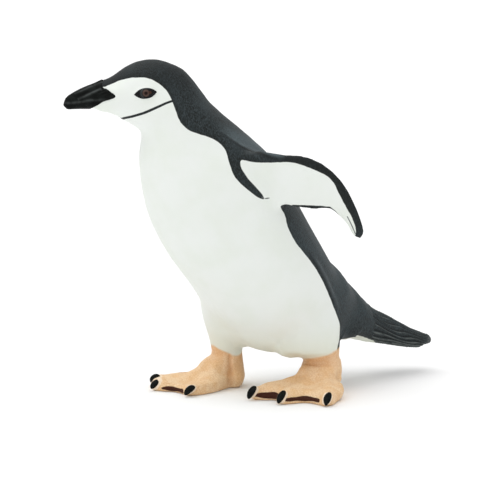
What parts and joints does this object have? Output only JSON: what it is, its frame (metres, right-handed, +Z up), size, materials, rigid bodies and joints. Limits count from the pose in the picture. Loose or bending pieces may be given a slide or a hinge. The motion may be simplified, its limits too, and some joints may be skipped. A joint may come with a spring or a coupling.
{
  "type": "toy penguin figure",
  "caption": "Hand-painted vinyl toy figure of a walking chinstrap penguin, head turned to its right, flippers held out and back, resting on its webbed feet.",
  "frame": {"origin": "on the floor, under the middle of the figure's bounding box", "axes": "+Z up; the bird walks towards -Y and its left side is +X"},
  "size_m": [0.0628, 0.099, 0.083],
  "materials": {
    "white_plumage": "white satin paint on moulded vinyl",
    "black_plumage": "charcoal paint, dry-brushed lighter over a fine feather texture",
    "feet": "peach satin paint with a brown wash on the web",
    "horn": "gloss black paint, on bill and claws",
    "eye": "gloss paint, brown iris in a black rim"
  },
  "bodies": {
    "root": {"trunk": "white_plumage", "neck": "white_plumage", "head": "white_plumage", "leg_left": "white_plumage", "leg_right": "white_plumage", "tail": "black_plumage", "flipper_left": "black_plumage", "flipper_right": "black_plumage", "bill_upper": "horn", "bill_lower": "horn", "eye_left": "eye", "eye_right": "eye", "foot_left": "feet", "foot_right": "feet", "claw_left_inner": "horn", "claw_left_middle": "horn", "claw_left_outer": "horn", "claw_right_inner": "horn", "claw_right_middle": "horn", "claw_right_outer": "horn"}
  },
  "joints": []
}
